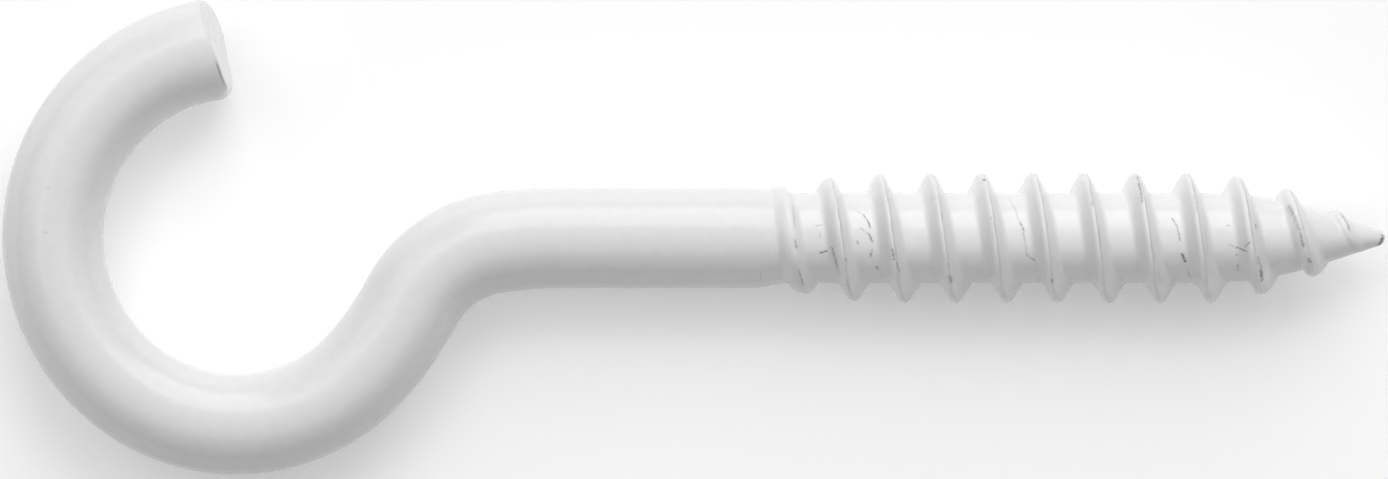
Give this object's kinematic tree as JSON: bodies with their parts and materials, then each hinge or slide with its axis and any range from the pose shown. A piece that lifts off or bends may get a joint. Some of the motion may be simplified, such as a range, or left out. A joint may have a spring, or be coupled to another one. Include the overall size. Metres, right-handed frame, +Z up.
{
  "type": "screw hook",
  "caption": "Ceiling screw hook: white-coated round wire bent to an open round hook, with a coarse wood-screw thread and a blunt point on its straight shank.",
  "frame": {"origin": "on the thread's axis, at the shoulder where the plain shank ends and the thread begins", "axes": "+X along the shank and thread toward the point, the hook bends in the XY plane with its mouth toward +Y, +Z up out of the hook's plane as it lies flat"},
  "size_m": [0.08, 0.0275, 0.0074],
  "materials": {
    "white_coating": "gloss"
  },
  "bodies": {
    "root": {"screw_hook": "white_coating"}
  },
  "joints": []
}
